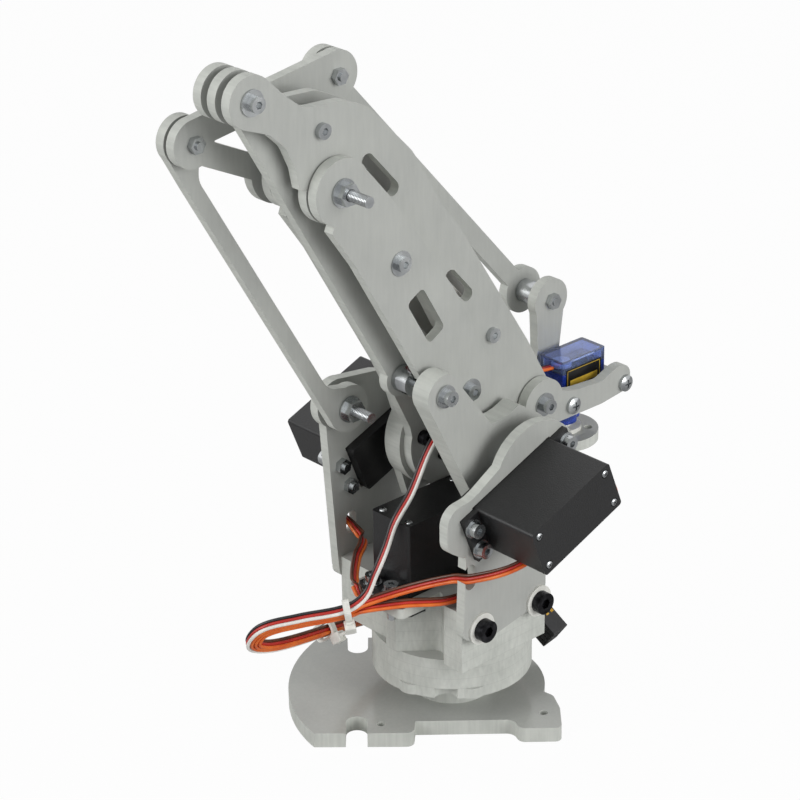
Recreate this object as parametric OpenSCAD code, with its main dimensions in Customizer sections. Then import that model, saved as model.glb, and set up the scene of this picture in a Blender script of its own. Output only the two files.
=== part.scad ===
// Desktop palletizing robot arm: four servos and parallel links of sheet plate.
// +X points forward along the arm, +Y to its left, +Z up.  The origin is on
// the turret's axis, at the underside of the base plate.  All sizes in mm.
// Links are drawn in side view, as [x, z] points measured from the shoulder
// axis, and each is set on edge in a layer of its own along Y, so that the
// links swing past each other.  The stored pose has the forearm folded down.

/* [Sheet] */
// Thickness of the sheet that the links and side plates are cut from
sheet = 4; // [3.6:0.1:4.2]
// Thickness of each layer of the glued blocks, with its glue
block_layer = 4.1; // [3.8:0.1:4.4]
// Thickness of the base plate
base_t = 6; // [4:0.5:10]
// Gap between two plates that swing past each other
layer_gap = 0.6; // [0.4:0.1:0.8]
// Clear width between the two plates of the forearm
fore_inner = 10.2; // [9.6:0.1:11]

/* [Linkage] */
// Height of the shoulder axis above the deck between the side plates
shoulder_rise = 45.5; // [45:0.5:52]
// Distance of the shoulder axis in front of the turret axis
shoulder_x = 8.7; // [7:0.5:11]
// Length of the lower arm, from the shoulder axis to the elbow axis
lower_len = 137.5; // [132:0.5:150]
// Direction of the lower arm above +X in the stored pose
lower_dir = 119.9; // [118:0.5:121]
// Length of the crank, and of the forearm's tail behind the elbow
crank_len = 50.3; // [49:0.5:54]
// Direction of the crank above +X in the stored pose
crank_dir = 131.4; // [131:0.5:133]
// Length of the forearm, from the elbow axis to the wrist axis
forearm_len = 143.6; // [142:0.5:150]
// Distance of the follower link's lower pivot from the shoulder axis
follower_len = 39.3; // [38:0.5:42]
// Direction of the follower link's lower pivot above +X
follower_dir = 153.7; // [152:0.5:156]
// Distance of the top link's pivots from the elbow axis and the wrist axis
level_len = 37.6; // [37:0.5:40]
// Direction of the top link's pivots above +X
level_dir = 44.1; // [43:0.5:46]

/* [Base] */
// Radius of the rounded end of the base plate
base_r = 62; // [60:0.5:70]
// Turn of the base plate against the arm
base_turn = -42.3; // [-50:0.5:-35]
// Radius of the fixed column that the turret turns on
column_r = 15; // [13:0.5:16]
// Radius of the turret's ring
ring_r = 30; // [28:0.5:31]
// Clear height between the base plate and the ring
ring_lift = 11.2; // [9:0.5:13]
// Radius of the centre hole of the base plate
centre_hole_r = 4; // [3:0.5:5]
// Radius of the two hold-down holes of the base plate
foot_hole_r = 1.6; // [1.2:0.1:2.5]

/* [Turret] */
// Width over the two side plates
turret_w = 70.6; // [70:0.2:72]
// Radius of the round top of each side plate, and of the driven hubs
hub_r = 20.5; // [19:0.5:21]
// Tilt of the two shoulder servos above +X
servo_tilt = 21.5; // [18:0.5:25]

/* [Servos] */
// Length of a servo's case
servo_l = 40.7; // [40:0.1:41.2]
// Width of a servo's case
servo_w = 19.7; // [19:0.1:20]
// Height of a servo's case
servo_h = 37; // [36.6:0.1:37.4]
// Distance from the bottom of the case to its mounting ears
servo_ear_h = 26.5; // [26:0.1:27]
// Thickness of the mounting ears
servo_ear_t = 2.5; // [2.2:0.1:2.8]
// Length over the mounting ears
servo_ear_l = 54.5; // [54:0.1:56]
// Distance from the middle of the case to the output shaft
servo_off = 10; // [9.5:0.1:10.3]
// Spacing of the ear holes along the case
ear_hole_l = 49.5; // [49:0.1:50]
// Spacing of the ear holes across the case
ear_hole_w = 10; // [9:0.1:10.5]
// Radius of a servo's metal output disc
disc_r = 10; // [9.5:0.5:11]
// Thickness of a servo's output disc
disc_t = 2.5; // [2:0.1:2.8]
// Wall of a servo's case
servo_wall = 1.5; // [1.2:0.1:2]

/* [Wrist] */
// Length of the wrist servo's case
micro_l = 22.8; // [22.4:0.1:23.2]
// Width of the wrist servo's case
micro_w = 12.2; // [11.8:0.1:12.6]
// Height of the wrist servo's case
micro_h = 22.7; // [22.2:0.1:23.5]
// Distance from the bottom of its case to its ears
micro_ear_h = 15.9; // [15.4:0.1:16.4]
// Length over its ears
micro_ear_l = 32.3; // [32:0.1:33]
// Spacing of its ear holes
micro_hole_l = 27.6; // [27.2:0.1:28]
// Distance of the wrist servo's middle in front of the wrist axis
micro_x = 29; // [28:0.5:32]
// Radius of the tool disc
tool_r = 14; // [13:0.5:16]
// Radius of the holes in the tool disc
tool_hole_r = 1.6; // [1.2:0.1:2]
// Diameter of the circle of holes in the tool disc
tool_pcd = 20; // [19:0.5:22]

/* [Fasteners] */
// Radius of the small bolts
m3_r = 1.5; // [1.4:0.05:1.6]
// Radius of the shoulder, elbow and follower bolts
m4_r = 2; // [1.9:0.05:2.1]
// Radius of the bolts that hold the side plates
m5_r = 2.5; // [2.3:0.1:2.6]
// Running clearance of a link on its bolt, on the radius
run_fit = 0.06; // [0.03:0.01:0.09]
// Clearance of a hole round a fixed bolt, on the radius
bolt_play = 0.1; // [0.05:0.05:0.2]
// Clearance round a pivot that closes a linkage, on the radius
open_play = 0.3; // [0.2:0.05:0.5]

/* [Hidden] */
$fn = 64;

// ---- Colours --------------------------------------------------------------
sheet_grey = "#abb0ab";
nylon_black = "#232326";
can_grey = "#8c8f94";
aluminium = "#c9ccd0";
black_oxide = "#2a2a2c";
zinc = "#b9bcc0";
nylon_white = "#e8e8e2";
case_blue = "#3f7fd0";
lead_orange = "#d9641e";
plug_black = "#1c1c1e";

// ---- Heights -------------------------------------------------------------
ring_layers = 4;
deck_layers = 6;
ring_z = base_t + ring_lift;
deck_bottom = ring_z + ring_layers * block_layer;
deck_z = deck_bottom + deck_layers * block_layer;
shoulder_z = deck_z + shoulder_rise;
servo_top = servo_h - servo_ear_h - servo_ear_t; // case above its ears
servo_low = servo_ear_h + servo_ear_t;           // case below the ears' top face
disc_gap = 1.5;                                  // case to output disc
base_servo_top = deck_z + servo_low;
column_top = deck_z - servo_top - disc_gap - disc_t;

// ---- Pivots, from the shoulder axis --------------------------------------
function polar(l, a) = l * [cos(a), sin(a)];
function unit(v) = v / norm(v);
function right_of(v) = [v[1], -v[0]];
shoulder = [0, 0];
elbow = polar(lower_len, lower_dir);
crank_end = polar(crank_len, crank_dir);
rear = elbow + crank_end;
wrist = elbow - polar(forearm_len, crank_dir);
follow_low = polar(follower_len, follower_dir);
follow_high = elbow + follow_low;
level_high = elbow + polar(level_len, level_dir);
level_low = wrist + polar(level_len, level_dir);

// Lower-arm coordinates: s runs up the arm from the shoulder, d to its right
arm_u = unit(elbow);
arm_d = right_of(arm_u);
function on_arm(p) = p[0] * arm_u + p[1] * arm_d;
// The same, measured from the elbow, for what belongs to its upper end
function near_elbow(p) = on_arm([lower_len + p[0], p[1]]);
// Forearm coordinates: s runs from the elbow to the wrist, n is square to it
fore_u = -unit(crank_end);
fore_n = -right_of(fore_u);
function on_fore(p) = elbow + p[0] * fore_u + p[1] * fore_n;
function near_wrist(p) = on_fore([p[0] + forearm_len, p[1]]);
// Crank coordinates
crank_u = unit(crank_end);
crank_d = right_of(crank_u);
function on_crank(p) = p[0] * crank_u + p[1] * crank_d;

// ---- Layers along Y, each plate's lower face ------------------------------
half_w = turret_w / 2;
side_in = half_w - sheet;
case_y = half_w - servo_top;                     // inner end of a shoulder servo
crank_y = -(case_y - disc_gap - disc_t);
lar_y = crank_y + 2 * sheet + 2.4;               // lower arm, right plate
far_y = lar_y + sheet + layer_gap;               // forearm, right plate
drive_y = far_y + sheet + (fore_inner - sheet) / 2;
fal_y = far_y + sheet + fore_inner;              // forearm, left plate
lal_y = fal_y + sheet + layer_gap;               // lower arm, left plate
hub_y = lal_y + sheet;                           // two hub layers
hub_end = hub_y + 2 * sheet;
tri_y = lal_y + sheet + 4.9;
link_y = tri_y + sheet + 1.4;                    // follower link and top link
mid_y = (lar_y + sheet + lal_y) / 2;
bracket_y = lal_y - layer_gap / 2;               // bracket, left plate

// ---- Fastener sizes --------------------------------------------------------
m3_head_r = 2.75;
m3_head_h = 3;
m3_washer_r = 4.5;
m3_nut_r = 3.1;
m3_nut_h = 2.4;
m4_head_r = 3.5;
m4_nut_r = 4.1;
m4_nut_h = 3.2;
m4_washer_r = 5;
m5_head_r = 4.15;
m5_head_h = 3.2;
washer_t = 0.8;
pan_r = 3.2;
pan_h = 2.2;
standoff_r = 3;
grip = 0.02;       // a thread's hole is this much larger than its screw
tuck = 0.03;       // a strip between two rounds stays this far inside them

// ---- Drawing helpers -------------------------------------------------------
// One corner of an outline, [x, y, radius], as points of an arc
function corner(a, b, c) = let(
        p = [b[0], b[1]],
        u = unit([a[0], a[1]] - p),
        v = unit([c[0], c[1]] - p),
        half = acos(max(-1, min(1, u * v))) / 2,
        reach = b[2] / tan(half),
        centre = p + unit(u + v) * b[2] / sin(half),
        from = p + u * reach - centre,
        to = p + v * reach - centre,
        start = atan2(from[1], from[0]),
        turn = atan2(to[1], to[0]) - start,
        sweep = turn > 180 ? turn - 360 : turn < -180 ? turn + 360 : turn,
        steps = max(2, ceil(abs(sweep) / 9)))
    [for (k = [0 : steps]) centre + polar(b[2], start + sweep * k / steps)];

// A closed outline whose corners, [x, y, radius], are rounded
module rounded(c) {
    n = len(c);
    polygon([for (i = [0 : n - 1])
        each (c[i][2] > 0 ? corner(c[(i + n - 1) % n], c[i], c[(i + 1) % n])
            : [[c[i][0], c[i][1]]])]);
}

// A list of [s, d, radius] corners taken over by a coordinate function's frame
function placed(c, o, u, v) = [for (p = c) let(q = o + p[0] * u + p[1] * v) [q[0], q[1], p[2]]];

// Strip between two circles, inside their outer tangents
module strip(p, rp, q, rq) {
    a = atan2(q[1] - p[1], q[0] - p[0]);
    b = acos((rp - rq) / norm(q - p));
    polygon([p + polar(rp, a + b), q + polar(rq, a + b), q + polar(rq, a - b), p + polar(rp, a - b)]);
}

module disc(p, r) translate(p) circle(r);

// A slot with round ends between two centres
module slot(p, q, w) {
    disc(p, w / 2);
    disc(q, w / 2);
    strip(p, w / 2, q, w / 2);
}

// Side-view outlines as one plate standing in a layer along Y
module plate(y, t = sheet)
    for (i = [0 : $children - 1])
        translate([shoulder_x, y + t, shoulder_z]) rotate([90, 0, 0]) linear_extrude(t) children(i);

// The same outlines as a cutter that runs out of both faces
module cut(y, t = sheet)
    for (i = [0 : $children - 1]) plate(y - 1, t + 2) children(i);

// Round bar along Y at a side-view point
module bar(p, y0, y1, r)
    translate([shoulder_x + p[0], y1, shoulder_z + p[1]]) rotate([90, 0, 0]) cylinder(h = y1 - y0, r = r);

// Ring along Y at a side-view point
module sleeve(p, y0, y1, r, hole)
    difference() {
        bar(p, y0, y1, r);
        bar(p, y0 - 1, y1 + 1, hole);
    }

// Places a fastener drawn along Z at a side-view point: its head's seat is at
// y, and its head points to -Y (side = -1) or +Y (side = 1)
module at(p, y, side = -1)
    translate([shoulder_x + p[0], y, shoulder_z + p[1]]) rotate([side > 0 ? -90 : 90, 0, 0]) children();

// Socket-head screw along Z: seat at 0, head above, shank below
module socket_screw(r, len, head_r, head_h)
    difference() {
        union() {
            cylinder(h = head_h, r = head_r);
            translate([0, 0, -len]) cylinder(h = len + 0.1, r = r);
        }
        translate([0, 0, head_h * 0.45]) cylinder(h = head_h, r = head_r * 0.5, $fn = 6);
    }

// Cross-recess pan-head screw along Z: seat at 0, domed head above
module pan_screw(r, len)
    difference() {
        union() {
            intersection() {
                cylinder(h = pan_h, r = pan_r);
                translate([0, 0, pan_h - 2 * pan_r]) sphere(2 * pan_r);
            }
            translate([0, 0, -len]) cylinder(h = len + 0.1, r = r);
        }
        for (a = [0, 90]) rotate([0, 0, a]) translate([-1.7, -0.35, pan_h - 1.1]) cube([3.4, 0.7, 2]);
    }

// Washer along Z from z
module washer(z, r, hole, t = washer_t)
    translate([0, 0, z]) difference() {
        cylinder(h = t, r = r);
        translate([0, 0, -1]) cylinder(h = t + 2, r = hole);
    }

// Hexagon nut along Z from z
module nut(z, r, h, hole)
    translate([0, 0, z]) difference() {
        cylinder(h = h, r = r, $fn = 6);
        translate([0, 0, -1]) cylinder(h = h + 2, r = hole, $fn = 32);
    }

// ---- Servo, in its own frame ------------------------------------------------
// The output axis is Z and points up; z = 0 is the ears' upper face.
case_back = -(servo_l / 2 + servo_off);
case_front = servo_l / 2 - servo_off;
cover_h = 7;
shaft_r = 3;
shaft_depth = 5;
ear_holes = [for (x = [-1, 1], y = [-1, 1]) [x * ear_hole_l / 2 - servo_off, y * ear_hole_w / 2]];

// A box over the case's footprint, grown by g on each side
module case_block(z0, z1, g = 0)
    translate([0, 0, z0]) linear_extrude(z1 - z0)
        rounded([for (p = [[case_back - g, -1], [case_front + g, -1], [case_front + g, 1],
            [case_back - g, 1]])
            [p[0], p[1] * (servo_w / 2 + g), 1.2]]);

module servo_case()
    difference() {
        union() {
            case_block(cover_h - servo_low, servo_top);
            difference() {
                translate([-servo_ear_l / 2 - servo_off, -servo_w / 2 + 0.4, -servo_ear_t])
                    cube([servo_ear_l, servo_w - 0.8, servo_ear_t]);
                for (p = ear_holes) translate([p[0], p[1], -servo_ear_t - 1])
                    cylinder(h = servo_ear_t + 2, r = m3_r + 0.6);
            }
            translate([0, 0, servo_top]) cylinder(h = 0.6, r = 6.4);
        }
        case_block(cover_h - servo_low - 1, -1, -servo_wall);
        translate([0, 0, servo_top - shaft_depth]) cylinder(h = shaft_depth + 2, r = shaft_r + run_fit);
    }

module servo_cover()
    difference() {
        case_block(-servo_low, cover_h - servo_low);
        case_block(servo_wall - servo_low, cover_h + 1 - servo_low, -servo_wall);
        for (x = [case_back + 3, case_front - 3], y = [-1, 1]) translate([x, y * (servo_w / 2 - 3),
            -servo_low - 1])
            cylinder(h = servo_wall + 0.4, r = 1.6);
    }

// Direct-current motor inside the case, on the far side from the output
motor_r = 7.8;
module servo_motor()
    translate([case_back + servo_wall + motor_r + 0.3, 0, servo_wall - servo_low])
        cylinder(h = servo_low - servo_wall - 1, r = motor_r);

// Output shaft and disc; the disc's face is at the given distance from the case
module servo_output(gap)
    union() {
        translate([0, 0, servo_top - shaft_depth + 0.5]) cylinder(h = shaft_depth + gap, r = shaft_r);
        translate([0, 0, servo_top + 0.9]) cylinder(h = gap - 0.8, r = 5);
        translate([0, 0, servo_top + gap]) difference() {
            cylinder(h = disc_t, r = disc_r);
            for (a = [0 : 90 : 270]) rotate([0, 0, a + 45]) translate([disc_screw_r, 0, -1])
                cylinder(h = disc_t + 2, r = m3_r - 0.3);
        }
    }
disc_screw_r = 7.4;

module right_servo_place()
    translate([shoulder_x, -half_w, shoulder_z]) rotate([0, -servo_tilt, 0]) rotate([-90, 0, 0]) children();
module left_servo_place() mirror([0, 1, 0]) right_servo_place() children();
module base_servo_place() translate([0, 0, deck_z]) rotate([180, 0, 0]) children();

// Four screws through the ears into what carries them, or with nuts behind it
module ear_screws(len, nut_z = 0)
    for (p = ear_holes) translate([p[0], p[1], -servo_ear_t]) rotate([180, 0, 0]) {
        washer(0, 3.5, m3_r + 0.05, 0.5);
        translate([0, 0, 0.5]) socket_screw(m3_r, len, m3_head_r, m3_head_h);
        if (nut_z < 0) nut(nut_z, m3_nut_r, m3_nut_h, m3_r + grip);
    }

// ---- Base -------------------------------------------------------------------
foot_y = 34;
module base_blank() {
    linear_extrude(base_t) intersection() {
        circle(base_r, $fn = 128);
        rounded([[-base_r - 1, -foot_y, 0], [-15, -foot_y - 1, 3], [-12, 0, 0],
            [-15, foot_y + 1, 3], [-base_r - 1, foot_y, 0]]);
    }
    linear_extrude(base_t) intersection() {
        circle(35, $fn = 128);
        translate([-20, -27]) square([60, 65]);
    }
    linear_extrude(base_t)
        rounded([[-16, -26, 0], [-12, -27, 8], [22, -27, 4], [24, -33, 3], [39.5, -33, 2.5],
            [39.6, -19.4, 6], [37.6, -10.4, 4], [33.3, -6.7, 2], [33.3, 3, 3], [-16, 3, 0]]);
}

module base_plate() color(sheet_grey)
    difference() {
        rotate([0, 0, base_turn]) difference() {
            base_blank();
            for (m = [-1, 1]) translate([0, 0, -1]) linear_extrude(base_t + 2)
                slot([-36, m * (foot_y + 6)], [-36, m * 27], 8);
            translate([-27, -28.4, -1]) cylinder(h = base_t + 2, r = foot_hole_r);
            translate([33.3, -22.4, -1]) cylinder(h = base_t + 2, r = foot_hole_r);
        }
        translate([0, 0, -1]) cylinder(h = base_t + 2, r = centre_hole_r);
        for (p = column_holes) translate([p[0], p[1], -1]) {
            cylinder(h = base_t + 2, r = m3_r + bolt_play);
            cylinder(h = 1 + column_head, r = m3_head_r + 0.2);
        }
    }

column_head = 3.2;
column_holes = [for (a = [45 : 90 : 315]) polar(10, a)];
module column() color(sheet_grey)
    difference() {
        translate([0, 0, base_t]) cylinder(h = column_top - base_t, r = column_r);
        translate([0, 0, base_t - 1]) cylinder(h = column_top, r = 2);
        for (p = column_holes) translate([p[0], p[1], base_t - 1]) cylinder(h = 15, r = m3_r + grip);
        for (p = disc_holes) translate([p[0], p[1], column_top - 9]) cylinder(h = 10, r = m3_r - 0.3
            + grip);
    }
disc_holes = [for (a = [0 : 90 : 270]) polar(disc_screw_r, a + 45)];

module column_screws() color(black_oxide) {
    for (p = column_holes) translate([p[0], p[1], column_head]) rotate([180, 0, 0])
        socket_screw(m3_r, 14, m3_head_r, m3_head_h);
}

module base_output() color(aluminium) base_servo_place() servo_output(disc_gap);

// ---- Turret -----------------------------------------------------------------
module turret_ring() color(sheet_grey)
    for (i = [0 : ring_layers - 1]) translate([0, 0, ring_z + i * block_layer])
        difference() {
            union() {
                cylinder(h = block_layer, r = ring_r);
                if (i == 0) for (a = [-118, -167]) translate(polar(ring_r - 5, a))
                    cylinder(h = block_layer, r = 6);
            }
            translate([0, 0, -1]) cylinder(h = block_layer + 2, r = column_r + run_fit);
            if (i == 0) translate(concat(polar(ring_r + 1, -138), -1)) cylinder(h = block_layer + 2,
                r = 4.5);
            for (a = [0, 120, 240]) rotate([0, 0, a + 20]) translate([ring_r - 6, 0, -1])
                cylinder(h = block_layer + 2, r = 1);
        }

deck_front = 17.5;
deck_rear = -26.8;
shelf_rear = -(ear_hole_l / 2 + servo_off) - 3.7;
module deck_outline()
    rounded([[deck_front, -side_in, 0], [deck_front, side_in, 0], [deck_rear, side_in, 0],
        [deck_rear, 3, 0], [deck_rear - 4.2, 3, 1], [deck_rear - 4.2, -3, 1],
        [-18, -14, 3], [deck_rear + 2, -22, 2], [deck_rear + 2, -side_in, 0]]);

module turret_deck() color(sheet_grey)
    difference() {
        union() {
            translate([0, 0, deck_bottom]) linear_extrude(deck_z - deck_bottom) deck_outline();
            translate([0, 0, deck_z - block_layer]) linear_extrude(block_layer)
                rounded([[shelf_rear, -14, 2], [0, -14, 0], [0, 14, 0], [shelf_rear, 14, 2]]);
        }
        translate([0, 0, deck_bottom - 1]) cylinder(h = deck_layers * block_layer + 2, r = column_r + 0.5);
        base_servo_place() case_block(-1, servo_top + 0.3, 0.2);
        base_servo_place() for (p = ear_holes) translate([p[0], p[1], -1])
            cylinder(h = 11.1, r = m3_r + grip);
        for (p = side_bolt_at, s = [-1, 1]) translate([shoulder_x + p[0], s * side_in, shoulder_z + p[1]])
            rotate([90, 0, 0]) cylinder(h = 24, r = m5_r + grip, center = true);
    }

// Bolts of the side plates, in the deck's upper half
deck_mid = -shoulder_rise - 1.5 * block_layer;
side_bolt_at = [[-27.8, deck_mid], [1.2, deck_mid]];

module servo_window(g) {
    rotate([0, 0, servo_tilt]) {
        translate([case_back - g, -servo_w / 2 - g]) square([servo_l + 2 * g, servo_w + 2 * g]);
        for (p = ear_holes) disc(p, m3_r + bolt_play);
    }
}

plate_low = -shoulder_rise - 12.3;
module side_lower()
    rounded([[-34, 0, 0], [0, hub_r - 1, 0], [hub_r - 3, 0, 0], [hub_r - 3, -12, 4],
        [5, -shoulder_rise + 3.5, 6],
        [5, plate_low + 9, 5], [-5, plate_low + 3.6, 10], [-24.8, plate_low, 20],
            [-36.6, plate_low + 4.4, 4]]);

module side_plate_right() color(sheet_grey)
    difference() {
        plate(-half_w) {
            disc(shoulder, hub_r);
            side_lower();
            rounded([[-36.5, -20, 0], [-44, -15, 6], [-44, 0, 7], [-33, 1.1, 10], [-18.9, 7.4, 6],
                [0, 16, 0], [0, -20, 0]]);
        }
        cut(-half_w) {
            servo_window(0.2);
            for (p = side_bolt_at) disc(p, m5_r + bolt_play);
            slot([-33, -26.5], [-33, -31.5], 5);
        }
    }

module side_plate_left() color(sheet_grey)
    difference() {
        plate(side_in) {
            disc(shoulder, hub_r);
            side_lower();
            disc(follow_low, 9.5);
            rounded([[-36.6, plate_low + 8, 0], [-41.5, follow_low[1], 0], follow_top, [-16, 24.3, 12],
                [0, hub_r - 2, 0], [0, -20, 0]]);
        }
        cut(side_in) {
            servo_window(0.2);
            for (p = side_bolt_at) disc(p, m5_r + bolt_play);
            disc(follow_low, m4_r + bolt_play);
            slot([-30, -31], [-30, -35], 5);
        }
    }
follow_top = [follow_low[0], follow_low[1] + 9.5, 0];

module side_bolts() color(black_oxide)
    for (p = side_bolt_at, s = [-1, 1]) at(p, s * (half_w + washer_t), s)
        socket_screw(m5_r, sheet + 11, m5_head_r, m5_head_h);

module nylon_washers() color(nylon_white)
    for (p = side_bolt_at, s = [-1, 1]) at(p, s * half_w, s) washer(0, 6, m5_r + bolt_play);

// Bolt of the follower link: head outside the left plate, nut and tip inside
module follower_bolt() color(zinc) {
    at(follow_low, half_w, 1) {
        washer(0, m4_washer_r, m4_r + grip);
        translate([0, 0, washer_t]) socket_screw(m4_r, half_w + washer_t - (link_y - 12), m4_head_r, 4);
    }
    sleeve(follow_low, link_y + sheet + 0.1, side_in, m4_washer_r, m4_r + grip);
    at(follow_low, link_y - 0.2) {
        washer(0, m4_washer_r, m4_r + grip);
        nut(washer_t, m4_nut_r, m4_nut_h, m4_r + grip);
    }
}

// ---- Servos -----------------------------------------------------------------
module at_each_servo() {
    base_servo_place() children();
    right_servo_place() children();
    left_servo_place() children();
}

module base_servo_case() color(nylon_black) base_servo_place() servo_case();
module right_servo_case() color(nylon_black) right_servo_place() servo_case();
module left_servo_case() color(nylon_black) left_servo_place() servo_case();
module servo_covers() color(nylon_black) at_each_servo() servo_cover();
module servo_motors() color(can_grey) at_each_servo() servo_motor();

// The deck is tapped for the base servo's screws; the side plates' have nuts
module servo_screws() color(zinc) {
    base_servo_place() ear_screws(11.5);
    right_servo_place() ear_screws(10.5, -sheet - servo_ear_t - m3_nut_h);
    left_servo_place() ear_screws(10.5, -sheet - servo_ear_t - m3_nut_h);
}

// ---- Crank ------------------------------------------------------------------
crank_end_r = 8;
module crank_arm()
    difference() {
        strip(shoulder, hub_r - tuck, crank_end, crank_end_r - tuck);
        rounded(placed([[crank_len - 4, 6.6, 0], [22, 4.9, 0], [17.5, 10, 4], [10, 30, 0],
            [crank_len, 30, 0]],
            shoulder, crank_u, crank_d));
    }

module crank() color(sheet_grey)
    difference() {
        plate(crank_y, 2 * sheet) {
            disc(shoulder, hub_r);
            disc(crank_end, crank_end_r);
            crank_arm();
        }
        bar(shoulder, crank_y - 1, crank_y + 9, m4_r + grip);
        bar(shoulder, crank_y - 1, crank_y + sheet, m4_head_r + 0.2);
        bar(crank_end, crank_y - 1, crank_y + 2 * sheet + 1, m3_r + run_fit);
        for (p = disc_holes) bar(rotated(p), crank_y - 1, crank_y + 2 * sheet + 1, m3_r - 0.3 + grip);
    }
function rotated(p) = [p[0] * cos(servo_tilt) - p[1] * sin(servo_tilt), p[0] * sin(servo_tilt)
    + p[1] * cos(servo_tilt)];

module crank_screws() color(black_oxide)
    for (p = disc_holes) at(rotated(p), crank_y + 2 * sheet, 1) pan_small(2 * sheet + disc_t - 0.3);
// Small pan-head screw of an output disc
module pan_small(len) {
    cylinder(h = 1.6, r = 2.2);
    translate([0, 0, -len]) cylinder(h = len + 0.1, r = m3_r - 0.3);
}

module crank_output() color(aluminium) right_servo_place() servo_output(disc_gap);

// Bolt that the lower arm's right plate swings on
module shoulder_pin() color(zinc) {
    at(shoulder, crank_y + sheet, -1) socket_screw(m4_r, lar_y + sheet + 5 - crank_y - sheet, m4_head_r,
        3.6);
    sleeve(shoulder, crank_y + 2 * sheet, lar_y - 0.2, m4_washer_r, m4_r + grip);
    at(shoulder, lar_y + sheet + 0.2, 1) {
        washer(0, m4_washer_r, m4_r + grip);
        nut(washer_t, m4_nut_r, m4_nut_h, m4_r + grip);
    }
}

// Bolt between the crank and the drive link
crank_washer_r = 4.2;
crank_spacer_r = 5;
module crank_pin() color(zinc) {
    at(crank_end, crank_y - 0.2) {
        washer(0, crank_washer_r, m3_r + grip);
        translate([0, 0, washer_t]) socket_screw(m3_r, drive_y + sheet + 4.2 - crank_y, m3_head_r,
            m3_head_h);
    }
    sleeve(crank_end, lar_y + sheet + layer_gap, drive_y - 0.2, crank_spacer_r, m3_r + grip);
    at(crank_end, drive_y + sheet + 0.2, 1) nut(0, m3_nut_r, m3_nut_h, m3_r + grip);
}

// ---- Lower arm --------------------------------------------------------------
arm_end_r = 11.7;
arm_hub_r = shoulder_rise - servo_low - 0.5;
standoff_low = on_arm([30.7, 5.1]);
standoff_high = near_elbow([-40.3, 5.7]);
function arm_side(hub) = placed(concat(
        [[0, -hub + 6, 0], [12, -9.5, 0], [lower_len - 27, -9.5, 14], [lower_len - 9, -arm_end_r + 0.6, 0],
        [lower_len, 0, 0], [lower_len - 0.5, arm_end_r, 0], [lower_len - 15.5, 14.5, 30],
            [lower_len - 37.5, 17, 60],
        [70, 19, 60], [46, 18.3, 40], [22, 17.5, 30], [11, 16.6, 10], [0, hub - 0.2, 0]]),
    shoulder, arm_u, arm_d);

module arm_holes() {
    disc(elbow, m4_r + grip);
    disc(standoff_low, m3_r + bolt_play);
    disc(standoff_high, m3_r + bolt_play);
}

module arm_window()
    rounded(placed([[61.5, 0, 2], [82, 0, 2], [82, 8.5, 2], [61.5, 8.5, 2]], shoulder, arm_u, arm_d));

module lower_arm_right() color(sheet_grey)
    difference() {
        plate(lar_y) {
            disc(shoulder, arm_hub_r);
            disc(elbow, arm_end_r);
            rounded(arm_side(arm_hub_r));
        }
        cut(lar_y) {
            arm_holes();
            disc(shoulder, m4_r + run_fit);
            disc(crank_end, m3_r + 0.8);
            arm_window();
        }
    }

module lower_arm_left() color(sheet_grey)
    difference() {
        plate(lal_y) {
            disc(shoulder, norm(wrist) - wrist_end_r - layer_gap);
            disc(elbow, arm_end_r);
            rounded(arm_side(arm_hub_r));
            rounded(placed([[4, -16, 0], [17.2, -11.7, 8], [55, -9.3, 0], [50, 0, 0], [0, 0, 0]],
                shoulder, arm_u, arm_d));
        }
        cut(lal_y) {
            arm_holes();
            hub_cuts();
            arm_window();
        }
    }

hub_bolt_at = [for (a = [45, 165, 285]) polar(13, a)];
module hub_cuts() {
    for (p = hub_bolt_at) disc(p, m3_r + bolt_play);
    for (p = disc_holes) disc(rotated(p), m3_r - 0.3 + grip);
}

// Two plates that carry the left lower arm on the left servo's disc
module lower_arm_hub() color(sheet_grey)
    difference() {
        union() {
            plate(hub_y, 2 * sheet) disc(shoulder, hub_r);
            plate(hub_y) rounded(placed([[0, -hub_r + 4, 0], [17.2, -11.7, 8], [42.5, -6.7, 4], [46, 4, 5],
                [40, 12, 6], [12, hub_r - 4, 0]], shoulder, arm_u, arm_d));
            plate(hub_y + sheet) rounded([[-18, -7, 0], [-12.2, -25, 2], [6.5, -hub_r + 1.5, 0],
                [0, 0, 0]]);
        }
        cut(hub_y, 2 * sheet) hub_cuts();
    }

module hub_bolts() color(black_oxide) {
    for (p = hub_bolt_at) at(p, lal_y) socket_screw(m3_r, 3 * sheet + 0.5, m3_head_r, m3_head_h);
    for (p = disc_holes) at(rotated(p), lal_y) pan_small(3 * sheet + disc_t - 0.3);
}

module lower_arm_output() color(aluminium)
    left_servo_place() servo_output(case_y - hub_end - disc_t);

module lower_arm_standoffs() color(sheet_grey)
    for (p = [standoff_low, standoff_high]) sleeve(p, lar_y + sheet, lal_y, standoff_r, m3_r + grip);

module lower_arm_screws() color(zinc) {
    for (p = [standoff_low, standoff_high]) {
        at(p, lar_y) {
            washer(0, m3_washer_r, m3_r + grip, 0.5);
            translate([0, 0, 0.5]) socket_screw(m3_r, 12, m3_head_r, 2);
        }
    }
    at(standoff_high, lal_y + sheet, 1) pan_screw(m3_r, 12);
}

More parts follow.
